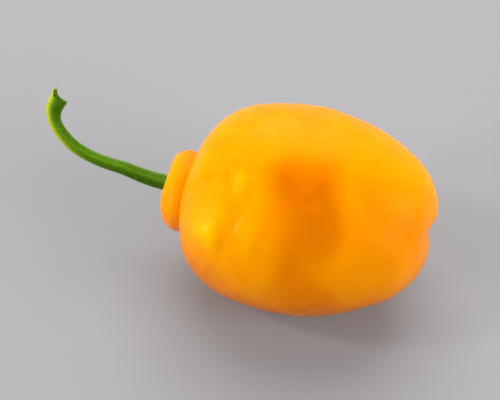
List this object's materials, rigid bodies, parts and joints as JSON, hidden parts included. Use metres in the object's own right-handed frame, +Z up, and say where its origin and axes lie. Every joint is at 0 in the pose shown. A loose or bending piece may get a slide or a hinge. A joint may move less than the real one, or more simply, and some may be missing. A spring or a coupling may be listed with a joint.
{
  "type": "rocoto pepper",
  "caption": "Yellow-orange rocoto pepper lying on its side: a lobed fruit with a ring-shaped collar round its stem end, and a green pedicel that curls up into a hook.",
  "frame": {"origin": "middle of the object's bounding box, at its base, on the surface that it lies on", "axes": "+X along the fruit's axis, from the stem end to the blossom end; +Y away from the front; +Z up"},
  "size_m": [0.1138, 0.0596, 0.0589],
  "materials": {
    "skin": "smooth waxy skin, yellow on top and orange in the creases and underneath, with a soft gloss",
    "calyx": "satin green leafy tissue, paler at the teeth",
    "pedicel": "satin green with fine pale speckles, yellow-green along its outer side towards the free end"
  },
  "bodies": {
    "root": {"fruit": "skin", "calyx": "calyx", "pedicel": "pedicel"}
  },
  "joints": []
}
